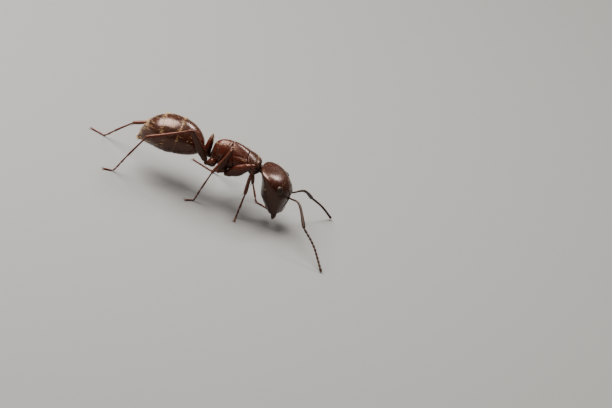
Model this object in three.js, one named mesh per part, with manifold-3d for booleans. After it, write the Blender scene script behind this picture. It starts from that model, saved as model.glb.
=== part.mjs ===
// A carpenter ant worker, standing with its head turned down and its feelers on the ground.
// Millimetres, +X towards the head, +Y to the ant's left, +Z up, the ground at Z = 0.
import * as THREE from "three";
import { mergeVertices } from "three/addons/utils/BufferGeometryUtils.js";
import Module from "manifold-3d";

const wasm = await Module();
wasm.setup();

// Driving dimensions
const clearance = 0.04; // between two neighbouring plates
const halfGap = clearance / 2;
const limbRadius = 0.26; // half of the least thickness of a leg or a feeler
const bodySides = 20;
const limbSides = 8;

const head = {
  top: [3.49, 4.44], // X and Z of the back of the head
  pitch: -68.2, // degrees, the way from the back of the head to the jaws
  capsule: 3.42, // length without the jaws
  jawLength: 0.7,
  depth: 2.28,
  depthForm: { peak: 2.1, back: 2.12, blunt: 1.8, front: 2.31, taper: 1.1 },
  width: 3.36,
  widthForm: { peak: 1.3, back: 1.32, blunt: 3.2, front: 4.85, taper: 1.5 },
  arch: 0.1, // how far the middle of the head stands over the straight line to the jaws
  drop: 0.8, // how far the back of the head bends down to the neck
  dropEnd: 1.57,
  eyeSize: [0.68, 0.2, 0.54], // along the head, out of it, across its side
  eyeAlong: 1.36,
  eyeTurn: 33, // degrees from the side of the head towards its face
  socketAlong: 2.3,
  socketApart: 0.96,
  socketDepth: 0.96, // how far out the sockets stand, as a share of the face's own height there
};

const trunk = {
  rear: -1.12,
  front: 2.62,
  depth: 2.2,
  depthForm: { peak: 0.2, back: 1.36, blunt: 2.6, front: 2.9, taper: 1.5 },
  width: 2.24,
  widest: 1.6, // X where it is widest, then how it narrows behind and before that
  narrowing: { back: 4.3, power: 1.58, front: 1.06, frontPower: 2.2 },
  rearRound: { from: -0.6, length: 0.62, share: 0.6 },
  height: 3.83, // Z of its middle at the rear, which rises by this slope towards the head
  slope: 0.07,
  pronotumEnd: 1.38, // X of the seam on the back behind the pronotum
  mesonotumEnd: 0.12,
  seamLean: 24, // degrees that each seam leans forward going down
};

const neck = { height: 4, end: [3.4, 0, 3.8], radii: [0.34, 0.38, 0.3] };

const petiole = {
  x: -1.46,
  foot: 2.98,
  crest: 4.98,
  thickness: 0.6,
  width: 1.24,
  crown: { peak: 0.45, back: 0.46, blunt: 2.6, front: 0.56, taper: 3.2 },
  thinning: [1.1, 0.4], // its thickness at the foot as a share, and how much of that it loses
};

const gaster = {
  start: [-1.83, 3.3],
  bend: [-4.65, 4.5],
  tip: [-6.52, 2.2],
  depth: 2.86,
  width: 3.02,
  swell: { peak: 0.5, back: 0.503, blunt: 2.2, front: 0.51, taper: 2.1 },
  seams: [0.37, 0.575, 0.78, 0.9], // where each plate ends, as a share of the length
};

// Radii at the start, middle and end of each length of a leg
const legSizes = {
  fore: { coxa: [0.42, 0.42, 0.33], femur: [0.28, 0.43, 0.27], tibia: [0.26, 0.27, 0.26] },
  mid: { coxa: [0.38, 0.36, 0.29], femur: [0.26, 0.33, 0.26], tibia: [0.26, 0.27, 0.26] },
  hind: { coxa: [0.4, 0.38, 0.31], femur: [0.26, 0.34, 0.26], tibia: [0.26, 0.28, 0.26] },
};

// Each leg's joints. The foot lies from heel to toe along the ground.
const legs = {
  fore_right: {
    base: [1.66, -0.5, 3.62],
    hip: [0.47, -0.88, 2.74],
    knee: [2.23, -1.42, 4.57],
    ankle: [2.38, -1.4, 2.05],
    heel: [2.4, -1.36, 0.24],
    toe: [2.42, -2.08, 0.17],
  },
  fore_left: {
    base: [1.66, 0.5, 3.62],
    hip: [0.5, 0.85, 2.4],
    knee: [1.9, 2.6, 3.33],
    ankle: [2.54, 2.78, 0.98],
    heel: [3.3, 2.08, 0.24],
    toe: [4.2, 1.88, 0.19],
  },
  mid_right: {
    base: [0.34, -0.52, 3.2],
    hip: [-0.1, -0.85, 2.68],
    knee: [0.32, -1.72, 5.2],
    ankle: [-0.48, -1.9, 2.86],
    heel: [-0.94, -1.56, 0.22],
    toe: [-1.48, -1.98, 0.16],
  },
  mid_left: {
    base: [0.34, 0.52, 3.2],
    hip: [-0.1, 0.85, 2.6],
    knee: [0.9, 3.2, 3.25],
    ankle: [0.1, 3.62, 0.93],
    heel: [-0.55, 3.86, 0.22],
    toe: [-2.25, 4.46, 0.19],
  },
  hind_right: {
    base: [-0.5, -0.46, 3.2],
    hip: [-1.12, -0.74, 2.86],
    knee: [-2.9, -2.2, 5.6],
    ankle: [-5.93, -2.3, 3.66],
    heel: [-7.2, -2.24, 0.22],
    toe: [-7.88, -2.5, 0.16],
  },
  hind_left: {
    base: [-0.5, 0.46, 3.2],
    hip: [-1.15, 0.75, 2.8],
    knee: [-4.33, 2.14, 3.84],
    ankle: [-7.4, 1.94, 2.2],
    heel: [-9.0, 2.4, 0.33],
    toe: [-10.1, 2.66, 0.19],
  },
};

// Each feeler's elbow, then the two points that bend its lash, and its tip on the ground.
const feelers = {
  right: {
    lift: [6.35, -1.05, 2.86],
    elbow: [7.35, -2.4, 1.9],
    middle: [8.5, -3.05, 1.2],
    tip: [9.74, -4.22, 0.05],
  },
  left: {
    lift: [6.3, 1.25, 2.9],
    elbow: [7.03, 2.58, 1.92],
    middle: [7.95, 3.4, 1.18],
    tip: [8.92, 4.35, 0.05],
  },
};

const colours = {
  black: new THREE.MeshStandardMaterial({ color: 0x1c1210, roughness: 0.3, metalness: 0 }),
  redBrown: new THREE.MeshStandardMaterial({ color: 0x4a1a12, roughness: 0.35, metalness: 0 }),
  leg: new THREE.MeshStandardMaterial({ color: 0x5a2416, roughness: 0.35, metalness: 0 }),
  eye: new THREE.MeshStandardMaterial({ color: 0x0c0a0a, roughness: 0.25, metalness: 0 }),
};

// Small helpers
const vec = ([x, y, z]) => new THREE.Vector3(x, y, z);
const degrees = THREE.MathUtils.degToRad;
const thin = [limbRadius, limbRadius, limbRadius];

function toSolid(geometry) {
  geometry.deleteAttribute("normal");
  geometry.deleteAttribute("uv");
  const merged = mergeVertices(geometry, 1e-5);
  return new wasm.Manifold(
    new wasm.Mesh({
      numProp: 3,
      vertProperties: new Float32Array(merged.attributes.position.array),
      triVerts: new Uint32Array(merged.index.array),
    }),
  );
}

function toGeometry(solid) {
  const mesh = solid.getMesh();
  const geometry = new THREE.BufferGeometry();
  geometry.setAttribute("position", new THREE.BufferAttribute(mesh.vertProperties, 3));
  geometry.setIndex(new THREE.BufferAttribute(mesh.triVerts, 1));
  return geometry;
}

// Wraps a closed cylinder round a spine: place(t, angle, reach) is a point of its side, or of its
// middle where reach is 0.
function wrap(sides, steps, place) {
  const geometry = new THREE.CylinderGeometry(1, 1, 1, sides, steps);
  const position = geometry.attributes.position;
  for (let i = 0; i < position.count; i += 1) {
    const t = position.getY(i) + 0.5;
    const x = position.getX(i);
    const z = position.getZ(i);
    const point = place(t, Math.atan2(z, x), Math.hypot(x, z) < 0.5 ? 0 : 1);
    position.setXYZ(i, point.x, point.y, point.z);
  }
  return toSolid(geometry);
}

// A box with its low corner and high corner given, turned about Y, as a knife.
function block(low, high, lean = 0, pivot = [0, 0]) {
  const size = vec(high).sub(vec(low));
  const middle = vec(high).add(vec(low)).multiplyScalar(0.5);
  const geometry = new THREE.BoxGeometry(size.x, size.y, size.z);
  geometry.translate(middle.x - pivot[0], middle.y, middle.z - pivot[1]);
  geometry.rotateY(degrees(lean));
  geometry.translate(pivot[0], 0, pivot[1]);
  return toSolid(geometry);
}

// Moves t towards the ends, so that round ends get more rings.
const easeEnds = (t) => (1 - Math.cos(Math.PI * t)) / 2;

// A blunt end before the peak and a tapering one after it, both as a share of the full size.
function egg(at, { peak, back, blunt, front, taper }) {
  if (at < peak) {
    const share = Math.min(1, (peak - at) / back);
    return (1 - share ** blunt) ** (1 / blunt);
  }
  return Math.max(0, 1 - ((at - peak) / front) ** taper);
}

// A body part with its spine in the XZ plane: size(t) gives half its width and depth, and its shift.
function bodyPart(spine, size, steps, grow = 0) {
  const place = (t, angle, reach = 1) => {
    const along = easeEnds(t);
    const point = spine.getPoint(along);
    const tangent = spine.getTangent(along);
    const { halfWidth, halfDepth, shift = 0 } = size(along);
    const side = -Math.cos(angle) * (halfWidth + grow) * reach;
    const up = Math.sin(angle) * (halfDepth + grow) * reach + shift;
    return new THREE.Vector3(point.x - tangent.y * up, side, point.y + tangent.x * up);
  };
  return wrap(bodySides, steps, place);
}

// A limb along a curve, with domed ends: radii are those at its start, middle and end. Where it is
// flattened, it is that share as thick along the reference direction as it is wide.
function limb(points, radii, steps, { grow = 0, flatten = 1, towards = null } = {}) {
  const curve =
    points.length === 2
      ? new THREE.LineCurve3(...points)
      : new THREE.CatmullRomCurve3(points, false, "centripetal");
  const length = curve.getLength();
  const [first, middle, last] = radii;
  const axis = points[points.length - 1].clone().sub(points[0]).normalize();
  const upright = Math.abs(axis.z) > 0.8;
  const reference = towards ?? new THREE.Vector3(upright ? 1 : 0, 0, upright ? 0 : 1);
  const radiusAt = (t) =>
    first * (1 - t) * (1 - 2 * t) + middle * 4 * t * (1 - t) + last * t * (2 * t - 1);
  const dome = (t, radius) => {
    const reach = Math.min(t, 1 - t) * length;
    const inside = Math.min(1, reach / radius);
    return Math.sqrt(Math.max(0.08, 1 - (1 - inside) ** 2));
  };
  const place = (t, angle, reach = 1) => {
    const along = easeEnds(t);
    const centre = curve.getPointAt(along);
    const tangent = curve.getTangentAt(along);
    const side = new THREE.Vector3().crossVectors(reference, tangent).normalize();
    const up = new THREE.Vector3().crossVectors(side, tangent);
    const radius = radiusAt(along);
    const full = (dome(along, radius) * radius + grow) * reach;
    centre.addScaledVector(side, Math.cos(angle) * full);
    return centre.addScaledVector(up, Math.sin(angle) * full * flatten);
  };
  return wrap(limbSides, steps, place);
}

const cut = (piece, ...knives) => knives.reduce((rest, knife) => rest.subtract(knife), piece);
const ground = block([-14, -9, -3], [14, 9, 0]);

const ant = new THREE.Group();

function addPiece(name, solid, material, pivot = [0, 0, 0]) {
  const geometry = toGeometry(solid);
  geometry.translate(-pivot[0], -pivot[1], -pivot[2]);
  const mesh = new THREE.Mesh(geometry, material);
  mesh.name = name;
  mesh.position.set(...pivot);
  ant.add(mesh);
}

// Head
const headWay = [Math.cos(degrees(head.pitch)), Math.sin(degrees(head.pitch))];
const headLine = head.capsule + head.jawLength;

// A point of the head's own frame: along it from the back, out to the left, up to the face.
function headPoint(along, left, face) {
  const x = head.top[0] + headWay[0] * along - headWay[1] * face;
  const z = head.top[1] + headWay[1] * along + headWay[0] * face;
  return new THREE.Vector3(x, left, z);
}

const headDepthAt = (along) => (head.depth / 2) * egg(along, head.depthForm);
const headWidthAt = (along) => (head.width / 2) * egg(along, head.widthForm);

// The height of the middle of the head over the line from its back to the jaws.
function headMiddle(along) {
  const share = along / headLine;
  const drop = head.drop * Math.max(0, 1 - along / head.dropEnd) ** 2.5;
  return head.arch * (1 - share + Math.sin(Math.PI * share)) - drop;
}

function headSolid(grow = 0) {
  const size = (t) => {
    const along = t * head.capsule;
    return {
      halfWidth: headWidthAt(along),
      halfDepth: headDepthAt(along),
      shift: headMiddle(along),
    };
  };
  const back = headPoint(0, 0, 0);
  const front = headPoint(head.capsule, 0, 0);
  const spine = new THREE.LineCurve(
    new THREE.Vector2(back.x, back.z),
    new THREE.Vector2(front.x, front.z),
  );
  return bodyPart(spine, size, 14, grow);
}

// An eye is a low dome whose base is sunk in the side of the head.
function eyeSolid(side, grow = 0) {
  const [length, bulge, height] = head.eyeSize;
  const geometry = new THREE.SphereGeometry(1, 10, 6);
  geometry.scale(length / 2 + grow, height / 2 + grow, bulge + grow);
  geometry.rotateX(degrees(side * (head.eyeTurn - 90)));
  const turn = degrees(head.eyeTurn);
  const width = headWidthAt(head.eyeAlong) * Math.cos(turn);
  const rise = headMiddle(head.eyeAlong) + headDepthAt(head.eyeAlong) * Math.sin(turn);
  geometry.rotateY(degrees(-head.pitch));
  const centre = headPoint(head.eyeAlong, side * width, rise);
  geometry.translate(centre.x, centre.y, centre.z);
  return toSolid(geometry);
}

const grownHead = headSolid(clearance);

function jawSolid(side) {
  const base = headPoint(head.capsule - 0.1, side * 0.6, 0.06);
  const bow = headPoint(head.capsule + 0.4, side * 0.44, 0);
  const tip = headPoint(headLine - 0.04, side * 0.12, -0.2);
  const towards = headPoint(0, 0, 1).sub(headPoint(0, 0, 0));
  const whole = limb([base, bow, tip], [0.52, 0.46, 0.14], 6, { flatten: 0.55, towards });
  const otherSide = block([0, side > 0 ? -3 : -halfGap, -2], [9, side > 0 ? halfGap : 3, 9]);
  return cut(whole, grownHead, otherSide);
}

const headSides = { left: 1, right: -1 };
const scapes = {};
for (const [name, side] of Object.entries(headSides)) {
  const feeler = feelers[name];
  const face = headMiddle(head.socketAlong) + headDepthAt(head.socketAlong) * head.socketDepth;
  const socket = headPoint(head.socketAlong, (side * head.socketApart) / 2, face + 0.1);
  const points = [socket, vec(feeler.lift), vec(feeler.elbow)];
  scapes[name] = limb(points, thin, 8, { grow: clearance });
  const scape = cut(limb(points, thin, 8), grownHead);
  addPiece(`antenna_${name}_scape`, scape, colours.black, socket.toArray());
}

const eyes = { left: eyeSolid(1), right: eyeSolid(-1) };
const eyeRoom = [eyeSolid(1, clearance), eyeSolid(-1, clearance)];
const capsule = cut(headSolid(), ...eyeRoom);
addPiece("head_capsule", capsule, colours.black, headPoint(0, 0, 0).toArray());
for (const [name, side] of Object.entries(headSides)) {
  addPiece(`eye_${name}`, eyes[name], colours.eye, headPoint(head.eyeAlong, side, 0).toArray());
  const jawRoot = headPoint(head.capsule, side * 0.5, 0).toArray();
  addPiece(`mandible_${name}`, jawSolid(side), colours.redBrown, jawRoot);
}

for (const name of Object.keys(headSides)) {
  const feeler = feelers[name];
  const elbow = vec(feeler.elbow);
  const middle = vec(feeler.middle);
  const tip = vec(feeler.tip);
  const lash = new THREE.CatmullRomCurve3([elbow, middle, tip], false, "centripetal");
  const half = lash.getPointAt(0.5);
  const firstPoints = [lash.getPointAt(0.04), lash.getPointAt(0.27), half];
  const secondPoints = [half, lash.getPointAt(0.75), tip];
  const first = limb(firstPoints, thin, 5);
  const grownFirst = limb(firstPoints, thin, 5, { grow: clearance });
  const second = cut(limb(secondPoints, thin, 6), grownFirst, ground);
  addPiece(`antenna_${name}_lash_inner`, cut(first, scapes[name]), colours.black, feeler.elbow);
  addPiece(`antenna_${name}_lash_outer`, second, colours.redBrown, half.toArray());
}

// Trunk: one form, parted by two leaning seams
const trunkLength = trunk.front - trunk.rear;
const trunkMiddle = (x) => trunk.height + trunk.slope * (x - trunk.rear);

// The trunk's width at X, as a share of the full width.
function trunkNarrowing(x) {
  const { back, power, front, frontPower } = trunk.narrowing;
  if (x > trunk.widest) {
    return (1 - ((x - trunk.widest) / front) ** frontPower) ** (1 / frontPower);
  }
  const { from, length, share } = trunk.rearRound;
  const round = x < from ? Math.sqrt(1 - share * ((from - x) / length) ** 2) : 1;
  return round * (1 - ((trunk.widest - x) / back) ** power);
}

function trunkSolid(grow = 0) {
  const spine = new THREE.LineCurve(
    new THREE.Vector2(trunk.rear, 0),
    new THREE.Vector2(trunk.front, 0),
  );
  const size = (t) => {
    const x = trunk.rear + t * trunkLength;
    return {
      halfWidth: (trunk.width / 2) * trunkNarrowing(x),
      halfDepth: (trunk.depth / 2) * egg(x, trunk.depthForm),
      shift: trunkMiddle(x),
    };
  };
  return bodyPart(spine, size, 16, grow);
}

const wholeTrunk = trunkSolid();
const grownTrunk = trunkSolid(clearance);
const seamPivot = (x) => [x, 5];
const behind = (x) => block([-9, -4, -2], [x, 4, 12], -trunk.seamLean, seamPivot(x));
const ahead = (x) => block([x, -4, -2], [12, 4, 12], -trunk.seamLean, seamPivot(x));
addPiece(
  "pronotum",
  cut(wholeTrunk, behind(trunk.pronotumEnd + halfGap)),
  colours.black,
  [trunk.pronotumEnd, 0, 4],
);
addPiece(
  "mesonotum",
  cut(wholeTrunk, ahead(trunk.pronotumEnd - halfGap), behind(trunk.mesonotumEnd + halfGap)),
  colours.redBrown,
  [trunk.mesonotumEnd, 0, 4],
);
addPiece(
  "propodeum",
  cut(wholeTrunk, ahead(trunk.mesonotumEnd - halfGap)),
  colours.redBrown,
  [trunk.rear, 0, 4],
);

// Neck: a short collar between pronotum and head, trimmed flat on top
const collarStart = [trunk.front + clearance, 0, neck.height];
const collar = limb([vec(collarStart), vec(neck.end)], neck.radii, 6);
const overNeck = block([2, -1, neck.height + halfGap], [5, 1, 6]);
addPiece("neck", cut(collar, grownHead, overNeck), colours.redBrown, collarStart);

// Petiole: an upright scale with a rounded crest
function petioleSolid(grow = 0) {
  const [footShare, loss] = petiole.thinning;
  const spine = new THREE.LineCurve(
    new THREE.Vector2(petiole.x + 0.03, petiole.foot),
    new THREE.Vector2(petiole.x - 0.02, petiole.crest),
  );
  const size = (t) => {
    const crown = egg(t, petiole.crown);
    return {
      halfWidth: (petiole.width / 2) * crown * (0.62 + 0.38 * Math.min(1, t * 2)),
      halfDepth: (petiole.thickness / 2) * crown * (footShare - loss * t),
    };
  };
  return bodyPart(spine, size, 10, grow);
}

// Gaster: one form along a bent spine, parted into five plates
const gasterSpine = new THREE.QuadraticBezierCurve(
  new THREE.Vector2(...gaster.start),
  new THREE.Vector2(...gaster.bend),
  new THREE.Vector2(...gaster.tip),
);

function gasterSolid(grow = 0) {
  const size = (t) => {
    const swell = egg(t, gaster.swell);
    return { halfWidth: (gaster.width / 2) * swell, halfDepth: (gaster.depth / 2) * swell };
  };
  return bodyPart(gasterSpine, size, 18, grow);
}

const wholeGaster = gasterSolid();
const grownGaster = gasterSolid(clearance);
addPiece(
  "petiole",
  cut(petioleSolid(), grownTrunk, grownGaster),
  colours.redBrown,
  [petiole.x, 0, petiole.foot],
);

// A knife that takes away all of the gaster on one side of a seam.
function gasterKnife(seam, forward, shift) {
  const point = gasterSpine.getPoint(seam);
  const tangent = gasterSpine.getTangent(seam);
  const geometry = new THREE.BoxGeometry(12, 8, 12);
  geometry.translate(forward ? -6 : 6, 0, 0);
  geometry.translate(shift, 0, 0);
  geometry.rotateY(-Math.atan2(tangent.y, tangent.x));
  geometry.translate(point.x, 0, point.y);
  return toSolid(geometry);
}

const ends = [null, ...gaster.seams, null];
for (let i = 0; i < ends.length - 1; i += 1) {
  const knives = [];
  if (ends[i] !== null) {
    knives.push(gasterKnife(ends[i], true, halfGap));
  }
  if (ends[i + 1] !== null) {
    knives.push(gasterKnife(ends[i + 1], false, -halfGap));
  }
  const at = gasterSpine.getPoint(ends[i] ?? 0);
  addPiece(`gaster_${i + 1}`, cut(wholeGaster, ...knives), i === 0 ? colours.redBrown : colours.black, [
    at.x,
    0,
    at.y,
  ]);
}

// Legs: coxa, femur with its trochanter, tibia and foot
for (const [name, joints] of Object.entries(legs)) {
  const [pair, side] = name.split("_");
  const sizes = legSizes[pair];
  const label = `leg_${pair}_${side}`;
  const at = Object.fromEntries(Object.entries(joints).map(([joint, point]) => [joint, vec(point)]));
  const coxa = (grow) => limb([at.base, at.hip], sizes.coxa, 5, { grow });
  const femur = (grow) => limb([at.hip, at.knee], sizes.femur, 7, { grow });
  const tibia = (grow) => limb([at.knee, at.ankle], sizes.tibia, 6, { grow });
  const sole = at.heel.clone().lerp(at.toe, 0.4);
  sole.z = at.toe.z;
  const footPoints = [at.ankle, at.ankle.clone().lerp(at.heel, 0.55), at.heel, sole, at.toe];
  const foot = limb(footPoints, thin, 10);
  addPiece(`${label}_coxa`, cut(coxa(0), grownTrunk), colours.leg, joints.base);
  addPiece(`${label}_femur`, cut(femur(0), coxa(clearance), grownTrunk), colours.leg, joints.hip);
  addPiece(`${label}_tibia`, cut(tibia(0), femur(clearance)), colours.leg, joints.knee);
  addPiece(`${label}_tarsus`, cut(foot, tibia(clearance), ground), colours.leg, joints.ankle);
}

export default ant;
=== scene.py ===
import math

import bmesh
import bpy
import numpy as np
from mathutils import Matrix, Vector


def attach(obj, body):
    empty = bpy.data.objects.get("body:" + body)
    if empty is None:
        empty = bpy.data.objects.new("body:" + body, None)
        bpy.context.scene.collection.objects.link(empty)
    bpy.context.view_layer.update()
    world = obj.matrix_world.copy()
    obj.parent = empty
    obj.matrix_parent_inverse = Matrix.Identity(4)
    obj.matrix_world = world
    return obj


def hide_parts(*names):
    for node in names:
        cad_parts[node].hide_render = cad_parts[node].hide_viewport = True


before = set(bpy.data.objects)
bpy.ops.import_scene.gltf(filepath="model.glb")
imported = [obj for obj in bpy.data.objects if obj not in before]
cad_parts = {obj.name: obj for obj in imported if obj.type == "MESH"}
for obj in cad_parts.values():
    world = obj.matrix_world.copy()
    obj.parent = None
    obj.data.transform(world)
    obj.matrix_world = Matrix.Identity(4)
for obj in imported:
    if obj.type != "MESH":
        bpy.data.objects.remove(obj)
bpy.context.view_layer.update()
chance = np.random.default_rng(11)
mm = 0.001  # every place and size below is in millimetres until a piece is finished
bothSides = dict(left=1, right=-1)
print("stage: frame loaded")


# curves and numbers
def smooth(low, high, x):
    t = min(1.0, max(0.0, (x - low) / (high - low)))
    return t * t * (3 - 2 * t)


def bell(distance, width):
    return math.exp(-((distance / width) ** 2))


def egg(at, peak, back, blunt, front, taper):
    # blunt behind the peak, tapering in front of it
    if at < peak:
        share = min(1.0, (peak - at) / back)
        return (1 - share**blunt) ** (1 / blunt)
    return max(0.0, 1 - ((at - peak) / front) ** taper)


def easeEnds(t):
    return (1 - math.cos(math.pi * t)) / 2


def between(stations, t):
    # smooth value along a short list of (place, value)
    if t <= stations[0][0]:
        return stations[0][1]
    for (t0, v0), (t1, v1) in zip(stations, stations[1:]):
        if t <= t1:
            return v0 + (v1 - v0) * smooth(t0, t1, t)
    return stations[-1][1]


class Path:
    # a smooth curve through a few points, asked for places by its share of the length
    def __init__(self, points, steps=24):
        points = [Vector(p) for p in points]
        ends = [points[0] * 2 - points[1], *points, points[-1] * 2 - points[-2]]
        self.line = []
        for a, b, c, d in zip(ends, ends[1:], ends[2:], ends[3:]):
            for step in range(steps):
                t = step / steps
                point = 2 * b + (c - a) * t + (2 * a - 5 * b + 4 * c - d) * t**2
                self.line.append(0.5 * (point + (3 * b - a - 3 * c + d) * t**3))
        self.line.append(points[-1])
        gaps = [(q - p).length for p, q in zip(self.line, self.line[1:])]
        self.reach = np.concatenate([[0], np.cumsum(gaps)])
        self.length = float(self.reach[-1])

    def at(self, share):
        far = max(0.0, min(1.0, share)) * self.length
        i = max(0, min(len(self.line) - 2, int(np.searchsorted(self.reach, far)) - 1))
        gap = self.reach[i + 1] - self.reach[i]
        return self.line[i].lerp(self.line[i + 1], (far - self.reach[i]) / gap if gap else 0)

    def way(self, share):
        return (self.at(share + 0.02) - self.at(share - 0.02)).normalized()


# materials
def newMaterial(name):
    material = bpy.data.materials.new(name)
    material.use_nodes = True
    nodes, links = material.node_tree.nodes, material.node_tree.links
    return material, nodes, links, nodes["Principled BSDF"]


def addNode(nodes, kind, values=None, **settings):
    node = nodes.new("ShaderNode" + kind)
    for name, value in settings.items():
        setattr(node, name, value)
    for socket, value in (values or {}).items():
        node.inputs[socket].default_value = value
    return node


def join(links, *rows):
    # each row is a node, its output, the next node and its input
    for giver, out, taker, into in rows:
        links.new(giver.outputs[out], taker.inputs[into])


def addBump(nodes, links, surface, giver, out, strength, distance):
    bump = addNode(nodes, "Bump", {"Strength": strength, "Distance": distance * mm})
    join(links, (giver, out, bump, "Height"), (bump, 0, surface, "Normal"))


def makeShellDetail():
    # fine surface of insect shell: cloudy patches, net-like grain and scattered hair pits
    group = bpy.data.node_groups.new("shellDetail", "ShaderNodeTree")
    for name, kind, value in (
        ("Grain Scale", "NodeSocketVector", (40, 40, 40)),
        ("Pit Scale", "NodeSocketFloat", 6.0),
        ("Patch Scale", "NodeSocketFloat", 1.2),
    ):
        group.interface.new_socket(name, in_out="INPUT", socket_type=kind).default_value = value
    for name in ("Patch", "Sheen", "Relief"):
        group.interface.new_socket(name, in_out="OUTPUT", socket_type="NodeSocketFloat")
    nodes = group.nodes
    given, result = nodes.new("NodeGroupInput"), nodes.new("NodeGroupOutput")
    coords = addNode(nodes, "TexCoord")
    scale = addNode(nodes, "VectorMath", operation="SCALE")
    scale.inputs["Scale"].default_value = 1 / mm
    stretch = addNode(nodes, "VectorMath", operation="MULTIPLY")
    grain = addNode(nodes, "TexVoronoi", {"Scale": 1}, feature="SMOOTH_F1")
    pits = addNode(nodes, "TexVoronoi")
    pitShape = addNode(nodes, "MapRange", {"From Max": 0.16}, interpolation_type="SMOOTHSTEP")
    patch = addNode(nodes, "TexNoise", {"Detail": 4})
    smear = addNode(nodes, "TexNoise", {"Scale": 5, "Detail": 3})
    height = addNode(nodes, "Math", {1: 0.35}, operation="MULTIPLY_ADD")
    join(
        group.links,
        (coords, "Object", scale, 0),
        (scale, 0, stretch, 0),
        (given, "Grain Scale", stretch, 1),
        (stretch, 0, grain, "Vector"),
        (scale, 0, pits, "Vector"),
        (given, "Pit Scale", pits, "Scale"),
        (pits, "Distance", pitShape, "Value"),
        (scale, 0, patch, "Vector"),
        (given, "Patch Scale", patch, "Scale"),
        (scale, 0, smear, "Vector"),
        (grain, "Distance", height, 0),
        (pitShape, 0, height, 2),
        (patch, "Fac", result, "Patch"),
        (smear, "Fac", result, "Sheen"),
        (height, 0, result, "Relief"),
    )
    return group


shellDetail = makeShellDetail()
shellFinishes = {
    "headShell": dict(
        deep=(0.017, 0.0044, 0.0025), warm=(0.044, 0.0088, 0.0042),
        gloss=0.27, ior=1.54, grain=(34, 34, 34),
    ),
    "gasterShell": dict(
        deep=(0.016, 0.0043, 0.0026), warm=(0.058, 0.0098, 0.0046),
        gloss=0.23, ior=1.6, grain=(46, 14, 46),
    ),
    "trunkShell": dict(
        deep=(0.015, 0.0036, 0.0020), warm=(0.045, 0.0073, 0.0034),
        gloss=0.25, ior=1.42, grain=(38, 20, 38),
    ),
    "legShell": dict(
        deep=(0.022, 0.0048, 0.0025), warm=(0.078, 0.0125, 0.0052),
        gloss=0.30, ior=1.46, grain=(50, 50, 20),
    ),
    "feelerShell": dict(
        deep=(0.007, 0.0030, 0.0020), warm=(0.026, 0.0080, 0.0042),
        gloss=0.44, ior=1.37, grain=(60, 60, 60),
    ),
    "jawShell": dict(
        deep=(0.010, 0.0045, 0.0035), warm=(0.045, 0.012, 0.007),
        gloss=0.28, ior=1.5, grain=(30, 60, 30),
    ),
}
grainDepth = 0.0032  # how deep the grain of the shell is
edgeColour = (0.13, 0.06, 0.028)


def makeShell(name, deep, warm, gloss, ior, grain):
    material, nodes, links, surface = newMaterial(name)
    detail = addNode(nodes, "Group", node_tree=shellDetail)
    detail.inputs["Grain Scale"].default_value = grain
    warmth = addNode(nodes, "Attribute", attribute_name="warmth")
    # patches lean the colour either way of the painted warmth
    shift = addNode(nodes, "Math", {1: 0.5}, operation="MULTIPLY_ADD")
    share = addNode(nodes, "MapRange", {"From Min": 0.25, "From Max": 1.25})
    colour = addNode(nodes, "Mix", {"A": (*deep, 1), "B": (*warm, 1)}, data_type="RGBA")
    rim = addNode(nodes, "Attribute", attribute_name="rim")
    # thin, paler, half clear edges of the plates
    edged = addNode(nodes, "Mix", {"B": (*edgeColour, 1)}, data_type="RGBA")
    spread = {"From Min": 0.3, "From Max": 0.7, "To Min": gloss - 0.05, "To Max": gloss + 0.07}
    rough = addNode(nodes, "MapRange", spread)
    join(
        links,
        (detail, "Patch", shift, 0),
        (warmth, "Fac", shift, 2),
        (shift, 0, share, "Value"),
        (share, 0, colour, "Factor"),
        (rim, "Fac", edged, "Factor"),
        (colour, "Result", edged, "A"),
        (edged, "Result", surface, "Base Color"),
        (detail, "Sheen", rough, "Value"),
        (rough, 0, surface, "Roughness"),
    )
    addBump(nodes, links, surface, detail, "Relief", 1, grainDepth)
    surface.inputs["IOR"].default_value = ior
    surface.inputs["Specular Tint"].default_value = (1.0, 0.69, 0.58, 1)
    return material


shells = {name: makeShell(name, **finish) for name, finish in shellFinishes.items()}


def makePlain(name, dark, pale, rough, scale, relief):
    material, nodes, links, surface = newMaterial(name)
    coords = addNode(nodes, "TexCoord")
    noise = addNode(nodes, "TexNoise", {"Scale": scale / mm, "Detail": 3})
    ramp = addNode(nodes, "MapRange", {"From Min": 0.3, "From Max": 0.7})
    colour = addNode(nodes, "Mix", {"A": (*dark, 1), "B": (*pale, 1)}, data_type="RGBA")
    join(
        links,
        (coords, "Object", noise, "Vector"),
        (noise, "Fac", ramp, "Value"),
        (ramp, 0, colour, "Factor"),
        (colour, "Result", surface, "Base Color"),
    )
    addBump(nodes, links, surface, noise, "Fac", relief, plainDepth)
    surface.inputs["Roughness"].default_value = rough
    surface.inputs["Specular Tint"].default_value = (1.0, 0.80, 0.70, 1)
    return material


plainDepth = 0.004  # how deep the grain of the plain finishes is
plainFinishes = {
    "goldenHair": dict(
        dark=(0.30, 0.17, 0.07), pale=(0.62, 0.42, 0.20),
        rough=0.38, scale=2.5, relief=0.0,
    ),
    "brownDown": dict(
        dark=(0.055, 0.024, 0.012), pale=(0.16, 0.09, 0.045),
        rough=0.5, scale=3.0, relief=0.0,
    ),
    "darkDown": dict(
        dark=(0.026, 0.012, 0.007), pale=(0.075, 0.040, 0.022),
        rough=0.5, scale=3.0, relief=0.0,
    ),
    "eyeFacets": dict(
        dark=(0.006, 0.003, 0.0022), pale=(0.013, 0.006, 0.004),
        rough=0.5, scale=6.0, relief=0.2,
    ),
    "clawHorn": dict(
        dark=(0.020, 0.007, 0.004), pale=(0.080, 0.026, 0.012),
        rough=0.28, scale=8.0, relief=0.3,
    ),
}
plain = {name: makePlain(name, **finish) for name, finish in plainFinishes.items()}
print("stage: materials made")


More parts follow.
